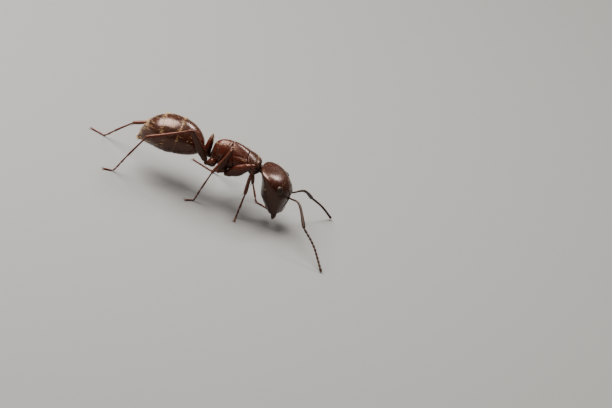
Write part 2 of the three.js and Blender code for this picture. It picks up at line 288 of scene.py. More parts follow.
# making pieces
def startPiece():
    bm = bmesh.new()
    for name in ("warmth", "rim"):
        bm.verts.layers.float.new(name)
    return bm


def addSkin(bm, around, along, place, warmth=0.5, rim=None):
    # a sphere whose every point is moved on to the form: place(share of the way, angle round it)
    firstFace = len(bm.faces)
    made = bmesh.ops.create_uvsphere(bm, u_segments=around, v_segments=along, radius=1)["verts"]
    warmthLayer, rimLayer = bm.verts.layers.float["warmth"], bm.verts.layers.float["rim"]
    spots = {}
    for vert in made:
        share = math.acos(max(-1.0, min(1.0, vert.co.z))) / math.pi
        angle = math.atan2(vert.co.y, vert.co.x)
        vert.co = place(share, angle)
        vert[warmthLayer] = warmth(share, angle) if callable(warmth) else warmth
        if rim is not None:
            vert[rimLayer] = rim(share, angle)
        spots[vert] = (share, angle)
    bm.faces.ensure_lookup_table()
    # the sphere's faces come in another order each run, so they are sorted
    fresh = sorted(bm.faces[firstFace:], key=lambda face: [spots[v] for v in face.verts])
    corners, where = [], []
    for face in fresh:
        quad = [*face.verts, face.verts[-1]][:4]
        corners.append([tuple(v.co) for v in quad])
        where.append((sum(spots[v][0] for v in quad) / 4, spots[quad[1]][1]))
    skin = makeSkin(np.array(corners), np.array(where))
    if (skin["middle"] * skin["normal"]).sum(axis=1) @ skin["area"] < 0:  # the form is inside out
        skin["normal"] *= -1
        bmesh.ops.reverse_faces(bm, faces=fresh)
    return skin


def makeSkin(corners, where):
    # what a coat needs to know of a form: its faces, which way they look, and their place on it
    normal = np.cross(corners[:, 2] - corners[:, 0], corners[:, 3] - corners[:, 1])
    area = np.linalg.norm(normal, axis=1)
    normal /= np.maximum(area, 1e-12)[:, None]
    middle = corners.mean(axis=1)
    share, angle = where[:, 0], where[:, 1]
    return dict(corners=corners, middle=middle, normal=normal, area=area, share=share, angle=angle)


def placePiece(mesh, material):
    mesh.shade_smooth()
    mesh.materials.append(material)
    piece = bpy.data.objects.new(mesh.name, mesh)
    bpy.context.scene.collection.objects.link(piece)
    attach(piece, "root")
    return piece


def finishPiece(name, bm, material, nodes=()):
    bmesh.ops.scale(bm, vec=(mm, mm, mm), verts=bm.verts)
    mesh = bpy.data.meshes.new(name)
    bm.to_mesh(mesh)
    bm.free()
    piece = placePiece(mesh, material)
    if nodes:
        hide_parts(*nodes)


def limbPlace(path, stations, across, flatten=1.0):
    # a round limb with domed ends along a path; across is the way in which it is flattened
    across = Vector(across)

    def place(share, angle):
        along = easeEnds(share)
        centre, way = path.at(along), path.way(along)
        side = (across - way * across.dot(way)).normalized()
        up = way.cross(side)
        radius = between(stations, along)
        inside = min(1.0, min(along, 1 - along) * path.length / max(1e-6, radius))
        radius *= math.sqrt(max(0.0, 1 - (1 - inside) ** 2))
        aside, high = math.cos(angle) * radius * flatten, math.sin(angle) * radius
        return centre + side * aside + up * high

    return place


# hairs: roots are picked on a skin, strands are joined in one mesh
def unitRows(rows):
    return rows / np.maximum(np.linalg.norm(rows, axis=1, keepdims=True), 1e-9)


unwrap = dict(tiles=8, margin=0.01, reach=0.105, hair=0.003)  # squares a side, and sizes in the map


class Coat:
    def __init__(self):
        self.strands = []

    def grow(self, skin, lie, count, length, thick, lift, curl=0.4, span=(0.04, 0.96), where=None):
        # lie is the way the tips point; lift is the angle off the surface in degrees
        weight = skin["area"] * (skin["share"] > span[0]) * (skin["share"] < span[1])
        if where is not None:
            weight = weight * where(skin["middle"], skin["normal"], skin["share"])
        pick = chance.choice(len(weight), size=count, p=weight / weight.sum())
        u, v = chance.random((2, count, 1))
        a, b, c, d = (skin["corners"][pick, i] for i in range(4))
        root = (a * (1 - u) + b * u) * (1 - v) + (d * (1 - u) + c * u) * v
        normal = skin["normal"][pick]
        way = np.array(lie)[None, :] * np.ones((count, 1))
        way = unitRows(way - normal * (way * normal).sum(axis=1, keepdims=True))
        spin = chance.normal(0, 0.18, (count, 1))
        way = way * np.cos(spin) + np.cross(normal, way) * np.sin(spin)
        tilt = np.radians(np.maximum(3, chance.normal(lift, lift * 0.22, (count, 1))))
        size = length * chance.uniform(0.72, 1.18, (count, 1))
        tile = len(self.strands)  # each skin has its own square of the unwrap
        tiles, margin, reach = unwrap["tiles"], unwrap["margin"], unwrap["reach"]
        across = tile % tiles / tiles + margin + skin["share"][pick] * reach
        upward = tile // tiles / tiles + margin + (skin["angle"][pick] / math.tau + 0.5) * reach
        same = np.ones((count, 1))
        row = [root, normal, way, size, same * thick, tilt, same * curl]
        self.strands.append(np.hstack([*row, across[:, None], upward[:, None]]))

    def finish(self, name, material, slot, rings=3, sides=3):
        data = np.vstack(self.strands)
        root, normal, way = data[:, 0:3], data[:, 3:6], data[:, 6:9]
        size, thick, tilt, curl = (data[:, i : i + 1] for i in range(9, 13))
        side = np.cross(normal, way)
        points, uvs = [], []
        for s in np.linspace(0, 1, rings + 1):
            ahead = size * (s * np.cos(tilt) + curl * s * s / 2 * np.sin(tilt))
            above = size * (s * np.sin(tilt) - curl * s * s / 2 * np.cos(tilt))
            centre = root + way * ahead + normal * (above - thick * 0.6)
            if s == 1:
                points.append(centre)
                uvs.append((0.5, 1.0))
                continue
            radius = thick * (1 - s * 0.75)
            for k in range(sides):
                turn = math.tau * k / sides
                point = centre + side * radius * math.cos(turn)
                points.append(point + normal * radius * math.sin(turn))
                uvs.append((k / sides, s))
        each = len(points)
        verts = np.stack(points, axis=1) * mm
        clear = verts[:, :, 2].min(axis=1) > 0  # a hair that would go into the floor is left out
        data, verts = data[clear], verts[clear].reshape(-1, 3)
        pattern = [[*range(sides)][::-1]]
        for r in range(rings - 1):
            for k in range(sides):
                a, b = r * sides + k, r * sides + (k + 1) % sides
                pattern.append([a, b, b + sides, a + sides])
        last = (rings - 1) * sides
        pattern += [[last + k, last + (k + 1) % sides, each - 1] for k in range(sides)]
        count = len(data)
        faces = [[i + n * each for i in face] for n in range(count) for face in pattern]
        mesh = bpy.data.meshes.new(name)
        mesh.from_pydata(verts.tolist(), [], faces)
        mesh.update()
        local = (np.array(uvs) - 0.5) * unwrap["hair"]
        perVert = (data[:, None, 13:15] + local[None, :, :]).reshape(-1, 2)
        corners = np.empty(len(mesh.loops), dtype=np.int32)
        mesh.loops.foreach_get("vertex_index", corners)
        layer = mesh.uv_layers.new(name="OFBake")
        layer.data.foreach_set("uv", perVert[corners].astype(np.float32).ravel())
        placePiece(mesh, material)
        print(f"stage: {name} has {count} hairs")


# head
head = dict(
    top=(3.49, 4.44),  # X and Z of the back of the head
    pitch=-68.2,
    capsule=3.42,
    jaws=0.7,
    depth=2.25,
    depthForm=dict(peak=2.1, back=2.12, blunt=1.8, front=2.31, taper=1.1),
    width=3.33,
    widthForm=dict(peak=1.3, back=1.32, blunt=2.6, front=4.85, taper=1.5),
    arch=0.1,  # how far the middle stands over the line to the jaws
    drop=0.8,  # how far the back bends down to the neck
    dropEnd=1.57,
    eyeAlong=1.36,
    eyeTurn=33,
    eyeSize=(0.33, 0.26, 0.17),
    eyeGroove=0.012,
    socketAlong=2.3,
    socketApart=0.96,
    rimBack=0.08,  # the front rim starts to turn in this far behind the capsule's end
    rimDepth=0.13,
    hollow=0.09,  # how far the middle of the back is set in
    lip=0.09,  # how far the clypeus stands out over the jaws
)
faceForm = dict(  # how high or deep each detail of the face is, and where it lies
    clypeusBack=2.5,
    clypeusBow=0.42,
    clypeusRise=0.03,
    clypeusKeel=0.03,
    clypeusGroove=0.03,
    ridgeApart=0.31,
    ridgeSpread=0.3,
    ridgeRise=0.05,
    ridgeInner=0.03,
    middleLine=0.022,
    socketDepth=0.09,
    socketRim=0.02,
    throatLine=0.03,
)
headWay = (math.cos(math.radians(head["pitch"])), math.sin(math.radians(head["pitch"])))
headLine = head["capsule"] + head["jaws"]


def headPoint(along, left, face):
    x = head["top"][0] + headWay[0] * along - headWay[1] * face
    z = head["top"][1] + headWay[1] * along + headWay[0] * face
    return Vector((x, left, z))


headAlong = headPoint(1, 0, 0) - headPoint(0, 0, 0)
headFace = headPoint(0, 0, 1) - headPoint(0, 0, 0)


def headMiddle(along):
    share = along / headLine
    drop = head["drop"] * max(0, 1 - along / head["dropEnd"]) ** 2.5
    return head["arch"] * (1 - share + math.sin(math.pi * share)) - drop


def headDepth(along):
    return head["depth"] / 2 * egg(along, **head["depthForm"])


def headWidth(along):
    return head["width"] / 2 * egg(along, **head["widthForm"])


eyeTurn = math.radians(head["eyeTurn"])
eyeFaceHeight = headMiddle(head["eyeAlong"]) + headDepth(head["eyeAlong"]) * math.sin(eyeTurn)
eyeLeft = headWidth(head["eyeAlong"]) * math.cos(eyeTurn)


def faceRelief(along, left):
    # the details of the face, as a height over the plain form
    side = abs(left)
    back = faceForm["clypeusBack"] + faceForm["clypeusBow"] * (side / 0.8) ** 2
    plate = smooth(0, 0.16, along - back) * (1 - smooth(0.74, 0.94, side))
    swell = faceForm["clypeusRise"] * (1 - smooth(0.3, 0.66, side))
    keel = faceForm["clypeusKeel"] * bell(left, 0.07)
    rise = plate * (faceForm["clypeusRise"] + swell + keel)
    rise -= faceForm["clypeusGroove"] * bell(along - back, 0.06) * (1 - smooth(0.78, 0.95, side))
    ridge = faceForm["ridgeApart"] + faceForm["ridgeSpread"] * max(0.0, 2.45 - along) ** 1.3
    strip = smooth(1.3, 1.7, along) * (1 - smooth(2.4, 2.58, along))
    inner = faceForm["ridgeInner"] * (1 - smooth(ridge - 0.05, ridge + 0.05, side))
    rise += strip * (faceForm["ridgeRise"] * bell(side - ridge, 0.06) + inner)
    line = faceForm["middleLine"] * bell(left, 0.035)
    rise -= line * smooth(0.9, 1.4, along) * (1 - smooth(2.2, 2.42, along))
    apart = math.hypot(along - head["socketAlong"], side - head["socketApart"] / 2)
    socketRim = faceForm["socketRim"] * bell(apart - 0.22, 0.06)
    rise += -faceForm["socketDepth"] * bell(apart, 0.13) + socketRim
    return rise


def headSurface(along, angle, share=1.0):
    # a point of the head shell; share shrinks the ring, for its closed ends
    width, depth, middle = headWidth(along), headDepth(along), headMiddle(along)
    left = math.cos(angle) * width * share
    up = math.sin(angle) * depth * share
    onFace = smooth(-0.1, 0.45, math.sin(angle))
    rise = faceRelief(along, left) * onFace * smooth(0.5, 1.0, share)
    under = 1 - smooth(-0.5, 0.0, math.sin(angle))
    rise -= under * faceForm["throatLine"] * bell(left, 0.04) * smooth(0.9, 1.4, along)
    if abs(left) > 0.9:
        length, height, _ = head["eyeSize"]
        eyeUp = (up + middle - eyeFaceHeight) / height
        eyeApart = math.hypot((along - head["eyeAlong"]) / length, eyeUp)
        rise -= head["eyeGroove"] * bell(eyeApart - 1.12, 0.09)
    notch = head["hollow"] * bell(left, 0.8) * (1 - smooth(0.0, 0.9, along))
    lobe = head["lip"] * (1 - smooth(0.42, 0.6, abs(left))) * smooth(3.1, 3.42, along) * onFace
    across, high = math.cos(angle) / max(0.2, width), math.sin(angle) / max(0.2, depth)
    out = Vector((0, across, high)).normalized()
    point = headPoint(along + notch + lobe, left, up + middle)
    return point + Vector((0, out.y, 0)) * rise + headFace * (out.z * rise)


def headPlace(share, angle):
    angle -= 0.35 * math.cos(angle)  # closer columns on the face
    opening, closing = 0.05, 0.94
    rimStart = head["capsule"] - head["rimBack"]
    if share < opening:
        return headSurface(0.0, angle, math.sin(share / opening * math.pi / 2))
    if share <= closing:
        return headSurface(rimStart * ((share - opening) / (closing - opening)) ** 1.5, angle)
    turn = (share - closing) / (1 - closing) * math.pi / 2
    rimEnd = rimStart + head["rimDepth"] * math.sin(turn)
    return headSurface(rimEnd, angle, max(0.0, math.cos(turn)) ** 0.4)


bm = startPiece()
headSkin = addSkin(bm, 288, 210, headPlace, lambda s, a: 0.1 + 0.35 * smooth(0.75, 1.0, s))
finishPiece("head_shell", bm, shells["headShell"], ["head_capsule"])


def makeEye(label, side):
    # a dome of six-sided facets, each a low lens of its own
    bm = startPiece()
    bmesh.ops.create_icosphere(bm, subdivisions=4, radius=1)
    whole, cut = [*bm.verts, *bm.edges, *bm.faces], (0, 0, -0.25)
    bmesh.ops.bisect_plane(bm, geom=whole, plane_co=cut, plane_no=(0, 0, 1), clear_inner=True)
    corners = [v for v in bm.verts if not v.is_boundary]
    edges = [e for e in bm.edges if not e.is_boundary]
    bmesh.ops.poke(bm, faces=bm.faces)
    bmesh.ops.rotate_edges(bm, edges=edges)
    bmesh.ops.dissolve_verts(bm, verts=corners)
    for vert in bm.verts:
        if vert.co.z > -0.2:
            vert.co.normalize()
    facets = [f for f in bm.faces if len(f.verts) in (5, 6)]
    bmesh.ops.inset_individual(bm, faces=facets, thickness=0.014, depth=0.007)
    bmesh.ops.contextual_create(bm, geom=[e for e in bm.edges if e.is_boundary])
    bmesh.ops.recalc_face_normals(bm, faces=bm.faces)
    length, height, bulge = head["eyeSize"]
    outward = Vector((0, side * math.cos(eyeTurn), 0)) + headFace * math.sin(eyeTurn)
    across = headAlong.cross(outward)
    centre = headPoint(head["eyeAlong"], side * eyeLeft, eyeFaceHeight) - outward * 0.07
    for vert in bm.verts:
        x, y, z = vert.co
        vert.co = centre + headAlong * (x * length) + across * (y * height) + outward * (z * bulge)
    if headAlong.cross(across).dot(outward) < 0:
        bmesh.ops.reverse_faces(bm, faces=bm.faces)
    finishPiece(f"eye_facets_{label}", bm, plain["eyeFacets"], [f"eye_{label}"])


for label, side in bothSides.items():
    makeEye(label, side)

jaw = dict(
    line=[(3.24, 0.6, 0.06), (3.52, 0.54, 0.05), (3.82, 0.36, -0.05), (4.08, 0.12, -0.2)],
    width=[(0, 0.34), (0.3, 0.45), (0.68, 0.31), (1, 0.07)],
    thickness=0.52,
    teeth=6,
    toothLength=0.15,
    toothGirth=[(0, 0.055), (0.5, 0.04), (1, 0.008)],
)


def makeJaw(label, side):
    bm = startPiece()
    path = Path([headPoint(a, side * l, f) for a, l, f in jaw["line"]])
    place = limbPlace(path, jaw["width"], headFace, jaw["thickness"])
    skin = addSkin(bm, 40, 40, place, lambda s, a: 0.3 + 0.5 * s)
    for i in range(jaw["teeth"]):
        share = 0.42 + 0.52 * i / (jaw["teeth"] - 1)
        centre, way = path.at(share), path.way(share)
        inward = way.cross(headFace).normalized() * side
        root = centre + inward * between(jaw["width"], share) * 0.78
        length = jaw["toothLength"] * (0.65 + 0.35 * share)
        tooth = Path([root, root + (inward + way * 0.7).normalized() * length])
        addSkin(bm, 10, 8, limbPlace(tooth, jaw["toothGirth"], headFace, 0.7), 0.9)
    finishPiece(f"jaw_blade_{label}", bm, shells["jawShell"], [f"mandible_{label}"])
    return skin


jawSkins = [makeJaw(label, side) for label, side in bothSides.items()]

mouth = dict(
    lip=[(3.32, -0.36, 0.02), (3.5, 0, 0.04), (3.32, 0.36, 0.02)],
    lipGirth=[(0, 0.12), (0.5, 0.2), (1, 0.12)],
    chin=[(2.6, 0, -0.66), (3.05, 0, -0.5), (3.5, 0, -0.24)],
    chinGirth=[(0, 0.16), (0.5, 0.24), (1, 0.16)],
    cheek=[(2.75, 0.34, -0.52), (3.42, 0.3, -0.2)],
    cheekGirth=[(0, 0.1), (0.5, 0.18), (1, 0.12)],
    longPalp=[(3.4, 0.4), (3.12, 0.47), (2.84, 0.47), (2.55, 0.42)],
    shortPalp=[(3.42, 0.14), (3.24, 0.18), (3.02, 0.18)],
    palpRadius=0.034,
)


def underHead(along, left):
    # a point that lies on the underside of the head
    full = math.sqrt(max(0.0, 1 - (left / headWidth(along)) ** 2))
    return headPoint(along, left, headMiddle(along) - headDepth(along) * full - 0.015)


def makeMouth():
    # lip, tongue parts and the jointed palps folded back under the head
    bm = startPiece()
    for part, around in (("lip", 16), ("chin", 20)):
        path = Path([headPoint(*p) for p in mouth[part]])
        addSkin(bm, around, 20, limbPlace(path, mouth[f"{part}Girth"], headFace, 0.6), 0.6)
    for side in (1, -1):
        cheek = Path([headPoint(a, side * left, up) for a, left, up in mouth["cheek"]])
        addSkin(bm, 16, 16, limbPlace(cheek, mouth["cheekGirth"], headFace, 0.7), 0.6)
        for name, count in (("longPalp", 6), ("shortPalp", 4)):
            palp = Path([underHead(a, side * left) for a, left in mouth[name]])
            for i in range(count):
                piece = Path([palp.at(i / count), palp.at((i + 1.05) / count)])
                thick = mouth["palpRadius"] * (1.1 - 0.06 * i)
                girth = [(0, thick * 0.7), (0.7, thick), (1, thick * 0.85)]
                addSkin(bm, 10, 10, limbPlace(piece, girth, (0, 1, 0)), 0.8)
    finishPiece("mouth_parts", bm, shells["jawShell"])


makeMouth()
print("stage: head made")

# feelers
feelers = dict(
    right=dict(
        lift=(6.35, -1.05, 2.86),
        elbow=(7.35, -2.4, 1.9),
        middle=(8.5, -3.05, 1.2),
        tip=(9.74, -4.22, 0.09),
    ),
    left=dict(
        lift=(6.3, 1.25, 2.9),
        elbow=(7.03, 2.58, 1.92),
        middle=(7.95, 3.4, 1.18),
        tip=(8.92, 4.35, 0.09),
    ),
    scape=[(0, 0.06), (0.08, 0.065), (0.5, 0.098), (0.88, 0.13), (1, 0.115)],
    joints=11,
    lash=(0.088, 0.096),
    scapeDown=dict(count=900, length=0.07, thick=0.0035, lift=16),
    scapeBristles=dict(count=26, length=0.15, thick=0.006, lift=42, curl=0.5),
    lashDown=dict(count=150, length=0.045, thick=0.003, lift=22),
)
feelerCoat = Coat()
feelerShell = shells["feelerShell"]


def makeFeeler(label, side):
    spot = feelers[label]
    front = headMiddle(head["socketAlong"]) + headDepth(head["socketAlong"]) * 0.96
    left = side * head["socketApart"] / 2
    socket = headPoint(head["socketAlong"], left, front - 0.02)
    out = headPoint(head["socketAlong"] + 0.02, left * 1.2, front + 0.22)
    bm = startPiece()
    ball = Path([socket - headFace * 0.1, socket + headFace * 0.16])
    addSkin(bm, 20, 14, limbPlace(ball, [(0, 0.1), (0.5, 0.11), (1, 0.075)], (0, 1, 0)), 0.4)
    scape = Path([socket + headFace * 0.05, out, spot["lift"], spot["elbow"]])
    place = limbPlace(scape, feelers["scape"], (0, 0, 1))
    warmth = lambda s, a: 0.15 + 0.4 * bell(s, 0.12) + 0.3 * smooth(0.93, 1, s)
    skin = addSkin(bm, 22, 60, place, warmth)
    finishPiece(f"feeler_scape_{label}", bm, feelerShell, [f"antenna_{label}_scape"])
    feelerCoat.grow(skin, scape.way(0.6), **feelers["scapeDown"])
    feelerCoat.grow(skin, scape.way(0.6), **feelers["scapeBristles"])
    lash = Path([spot["elbow"], spot["middle"], spot["tip"]])
    bm = startPiece()
    thread = limbPlace(lash, [(0, 0.05), (1, 0.05)], (0, 0, 1))  # joins the beads
    addSkin(bm, 12, 60, thread, 0.4)
    count = feelers["joints"]
    lengths = [1.35, *[1.0] * (count - 2), 1.3]
    ends = np.cumsum([0, *lengths]) / sum(lengths)
    for i in range(count):
        low, high = ends[i], ends[i + 1]
        thick = feelers["lash"][0] + (feelers["lash"][1] - feelers["lash"][0]) * i / count
        first = [(0, thick * 0.74), (0.3, thick * 0.88), (0.85, thick), (1, thick * 0.84)]
        last = [(0, thick * 0.8), (0.2, thick * 0.95), (0.6, thick), (1, thick * 0.5)]
        piece = Path([lash.at(low + (high - low) * t) for t in (0.0, 0.5, 1.03)], 6)
        place = limbPlace(piece, last if i == count - 1 else first, (0, 0, 1))
        skin = addSkin(bm, 16, 16, place, lambda s, a, i=i: 0.2 + 0.05 * i + 0.35 * bell(s, 0.16))
        feelerCoat.grow(skin, lash.way((low + high) / 2), **feelers["lashDown"])
    nodes = [f"antenna_{label}_lash_inner", f"antenna_{label}_lash_outer"]
    finishPiece(f"feeler_lash_{label}", bm, feelerShell, nodes)


for label, side in bothSides.items():
    makeFeeler(label, side)
feelerCoat.finish("feeler_down", plain["darkDown"], "feeler", rings=2)
print("stage: feelers made")

# trunk
trunk = dict(
    rear=-1.12,
    front=2.62,
    depth=2.18,
    depthForm=dict(peak=0.2, back=1.36, blunt=2.6, front=2.9, taper=1.5),
    width=2.22,
    pronotumEnd=1.38,
    mesonotumEnd=0.12,
    widest=1.6,
    narrowing=(4.3, 1.58),  # behind the widest place: over what length, and how fast
    frontRound=(1.06, 2.2),  # ahead of it: the length, and how blunt
    rearRound=(-0.6, 0.62, 0.6),  # where it starts, its length and how much
    height=3.83,  # of the middle line at the rear
    slope=0.07,
    pinch=0.27,  # how much narrower the back is than the sides
    boxy=0.94,
    lean=24,  # degrees that each seam leans forward going down
    warmth=dict(propodeum=(0.75, 0.6), mesonotum=(0.5, 0.25), pronotum=(0.2, 0.05)),
)


folds = dict(  # how deep or high each one is on the trunk
    sideGroove=0.028,
    hindSeam=0.05,
    secondSeam=0.035,
    lowSeam=0.045,
    sideSwell=0.03,
    frontGroove=0.03,
    collar=0.015,
)


def trunkNarrowing(x):
    length, fast = trunk["narrowing"]
    if x < trunk["widest"]:
        return 1 - ((trunk["widest"] - x) / length) ** fast
    length, blunt = trunk["frontRound"]
    return (1 - ((x - trunk["widest"]) / length) ** blunt) ** (1 / blunt)


def trunkSize(x):
    # half the width, half the depth and the height of the middle
    x = max(trunk["rear"], min(trunk["front"], x))
    start, length, much = trunk["rearRound"]
    rearRound = math.sqrt(1 - ((start - x) / length) ** 2 * much) if x < start else 1
    width = trunk["width"] / 2 * trunkNarrowing(x) * rearRound
    depth = trunk["depth"] / 2 * egg(x, **trunk["depthForm"])
    return width, depth, trunk["height"] + trunk["slope"] * (x - trunk["rear"])


def trunkRelief(x, angle):
    # seams, folds and swellings of the trunk's sides
    up = math.degrees(math.asin(math.sin(angle)))  # height round the form, 90 on the back
    sideways = 1 - smooth(60, 80, abs(up))
    rise = 0.0
    fade = smooth(0.1, 0.3, x) * (1 - smooth(1.4, 1.7, x))
    rise -= folds["sideGroove"] * bell(up - (26 + 14 * (x - 0.7)), 5) * fade
    rise -= folds["hindSeam"] * bell(x + 0.02 - 0.004 * (up - 20), 0.05) * (0.4 + 0.6 * sideways)
    rise -= folds["secondSeam"] * bell(x + 0.17 - 0.002 * up, 0.035) * (1 - smooth(70, 88, abs(up)))
    fade = (1 - smooth(0.1, 0.3, x)) * smooth(-1.05, -0.8, x)
    rise -= folds["lowSeam"] * bell(up + 18 + 10 * x, 5) * fade
    rise += folds["sideSwell"] * bell(x - 0.75, 0.35) * bell(up + 12, 22)
    fade = smooth(1.7, 1.9, x) * (1 - smooth(2.3, 2.5, x))
    rise -= folds["frontGroove"] * bell(up - 8 - 30 * (x - 1.9), 6) * fade
    rise += folds["collar"] * bell(x - 2.42, 0.08)
    return rise


def trunkSurface(x, angle, share=1.0):
    width, depth, middle = trunkSize(x)
    rise = trunkRelief(x, angle) * share
    c, s = math.cos(angle), math.sin(angle)
    pinch = 1 - trunk["pinch"] * max(0.0, s) ** 2 * (1 - 0.6 * smooth(1.3, 2.1, x))
    left = math.copysign(abs(c) ** trunk["boxy"], c) * (width + rise) * share * pinch
    up = math.copysign(abs(s) ** trunk["boxy"], s) * (depth + rise) * share
    return Vector((x, left, middle + up))


def seamX(x, z):
    return x + math.tan(math.radians(trunk["lean"])) * (5 - z)


def platePlace(rear, front, leanRear, leanFront, lip=0.045):
    # a plate of the trunk from one seam to the next, with its ends turned in
    def place(share, angle):
        cap = 0.1
        along = min(1.0, max(0.0, (share - cap) / (1 - 2 * cap)))
        reach = 1.0
        if share < cap:
            reach = math.sin(share / cap * math.pi / 2)
        elif share > 1 - cap:
            reach = math.sin((1 - share) / cap * math.pi / 2)
        x = rear + (front - rear) * along
        z = trunkSurface(x, angle).z
        low = seamX(rear, z) if leanRear else rear
        high = seamX(front, z) if leanFront else front
        x = low + (high - low) * along
        edge = min(x - low if leanRear else 9.0, high - x if leanFront else 9.0)
        turned = max(0.0, 1 - edge / lip)
        full = trunkSurface(x, angle, reach)
        centre = Vector((x, 0, trunkSize(x)[2]))
        return full - (full - centre) * (0.055 * turned**2)

    return place


trunkPlaces = dict(
    propodeum=platePlace(trunk["rear"], trunk["mesonotumEnd"] - 0.012, False, True),
    mesonotum=platePlace(trunk["mesonotumEnd"] + 0.012, trunk["pronotumEnd"] - 0.012, True, True),
    pronotum=platePlace(trunk["pronotumEnd"] + 0.012, trunk["front"], True, False),
)
trunkSkins = {}
for node, place in trunkPlaces.items():
    bm = startPiece()
    rear, front = trunk["warmth"][node]
    trunkSkins[node] = addSkin(
        bm,
        200,
        120,
        place,
        lambda s, a, r=rear, f=front: r + (f - r) * s + 0.2 * (1 - smooth(-0.6, 0.6, math.sin(a))),
    )
    finishPiece(f"{node}_plate", bm, shells["trunkShell"], [node])

# X, height round the trunk in degrees, and size
breathers = [(-0.74, 21, 0.085), (0.02, 44, 0.06), (-0.2, -4, 0.05)]


def onTrunk(x, angle):
    # a point of the trunk's side and the way it faces
    root = trunkSurface(x, angle)
    higher, ahead = trunkSurface(x, angle + 0.03), trunkSurface(x + 0.01, angle)
    normal = (higher - root).cross(ahead - root).normalized()
    return root, normal if normal.y * root.y > 0 else -normal


def makeBreathers():
    # raised oval rims of the air holes, each with a near-black piece inside as painted shade of the
    # opening
    rims, shadeSlits = startPiece(), startPiece()
    for x, up, size in breathers:
        for side in (1, -1):
            root, normal = onTrunk(x, math.radians(up) if side > 0 else math.pi - math.radians(up))
            lean = Vector((0.35, 0, 1))
            tall = (lean - normal * normal.dot(lean)).normalized()
            across = tall.cross(normal)
            circle = bmesh.ops.create_circle(rims, segments=24, radius=size * 0.3)["verts"]
            for vert in circle:
                vert.co = root + tall * (size + vert.co.x) * 1.15 + normal * (vert.co.y * 0.8)
            edges = list(dict.fromkeys(e for v in circle for e in v.link_edges))
            turn = dict(angle=math.tau, steps=28, use_merge=True)
            bmesh.ops.spin(rims, geom=edges, cent=root, axis=normal, **turn)
            ring = {v for v in rims.verts if (v.co - root).length < size * 2}
            for vert in ring:  # the ring is made narrower than it is tall
                vert.co -= across * (across.dot(vert.co - root) * 0.4)
            # a near-black spindle set in the opening: painted shade of the hole
            shadeSlit = Path([root - tall * size, root + tall * size])
            girth = [(0, size * 0.3), (0.5, size * 0.55), (1, size * 0.3)]
            addSkin(shadeSlits, 14, 12, limbPlace(shadeSlit, girth, normal, 0.3))
    bmesh.ops.remove_doubles(rims, verts=rims.verts, dist=1e-5)
    bmesh.ops.recalc_face_normals(rims, faces=rims.faces)
    finishPiece("trunk_breather_rims", rims, shells["trunkShell"])
    finishPiece("trunk_breather_shade_slits", shadeSlits, plain["eyeFacets"])


makeBreathers()

neckLine = dict(
    middle=[(2.45, 0, 3.95), (2.8, 0, 3.82), (3.12, 0, 3.58)],
    girth=[(0, 0.3), (0.5, 0.28), (1, 0.24)],
    plate=[(1.86, 0.26, 3.42), (2.3, 0.2, 3.58), (2.72, 0.12, 3.82)],
    plateGirth=[(0, 0.3), (0.4, 0.34), (1, 0.2)],
)
bm = startPiece()
# the middle of the neck is kept at the deep colour: painted shade where it lies under the head
addSkin(bm, 40, 30, limbPlace(Path(neckLine["middle"]), neckLine["girth"], (0, 1, 0)), 0.1)
for side in (1, -1):
    plate = Path([(x, y * side, z) for x, y, z in neckLine["plate"]])
    addSkin(bm, 32, 30, limbPlace(plate, neckLine["plateGirth"], (0, 1, 0), 0.8), 0.3)
finishPiece("neck_plates", bm, shells["trunkShell"], ["neck"])

petiole = dict(
    x=-1.46,
    foot=2.98,
    crest=4.97,
    thickness=0.58,
    width=1.22,
    notch=0.07,  # in the middle of the crest
    crown=dict(peak=0.45, back=0.46, blunt=2.6, front=0.56, taper=3.2),
    stalks=[((-0.95, 0, 3.3), (-1.5, 0, 3.2)), ((-1.4, 0, 3.2), (-2.0, 0, 3.28))],
    stalkGirth=[(0, 0.26), (0.5, 0.21), (1, 0.28)],
)


def petiolePlace(share, angle):
    height = petiole["crest"] - petiole["foot"]
    t = easeEnds(share)
    crown = egg(t, **petiole["crown"])
    wide = petiole["width"] / 2 * crown * (0.62 + 0.38 * min(1, t * 2))
    thick = petiole["thickness"] / 2 * crown * (1.1 - 0.42 * t)
    left, ahead = math.cos(angle) * wide, math.sin(angle) * thick
    x = petiole["x"] + 0.03 - 0.05 * t + ahead
    notch = petiole["notch"] * bell(left, 0.16) * smooth(0.85, 1, t)
    return Vector((x, left, petiole["foot"] + height * t - notch))


bm = startPiece()
petioleSkin = addSkin(bm, 120, 90, petiolePlace, lambda s, a: 0.8 - 0.2 * s)
for ends in petiole["stalks"]:  # before and behind the scale
    addSkin(bm, 32, 20, limbPlace(Path(ends), petiole["stalkGirth"], (0, 1, 0)), 0.6)
finishPiece("petiole_scale", bm, shells["trunkShell"], ["petiole"])
print("stage: trunk made")

# gaster
gaster = dict(
    start=(-1.83, 3.3),
    bend=(-4.65, 4.5),
    tip=(-6.52, 2.2),
    depth=2.83,
    width=2.99,
    swell=dict(peak=0.5, back=0.503, blunt=2.2, front=0.51, taper=2.1),
    seams=[0, 0.37, 0.575, 0.78, 0.9, 1],
    step=0.03,  # how far each hind edge stands over the next plate
)


def gasterLine(t):
    a, b, c = (Vector((p[0], 0, p[1])) for p in (gaster["start"], gaster["bend"], gaster["tip"]))
    point = a * (1 - t) ** 2 + b * 2 * t * (1 - t) + c * t**2
    way = ((b - a) * (1 - t) + (c - b) * t).normalized()
    return point, way


def gasterSurface(t, angle, rise=0.0, share=1.0):
    point, way = gasterLine(max(0.0, min(1.0, t)))
    swell = egg(max(0.0, min(1.0, t)), **gaster["swell"])
    up = Vector((-way.z, 0, way.x)) * -1
    left = math.cos(angle) * (gaster["width"] / 2 * swell + rise) * share
    high = math.sin(angle) * (gaster["depth"] / 2 * swell + rise) * share
    return point + Vector((0, left, 0)) + up * high


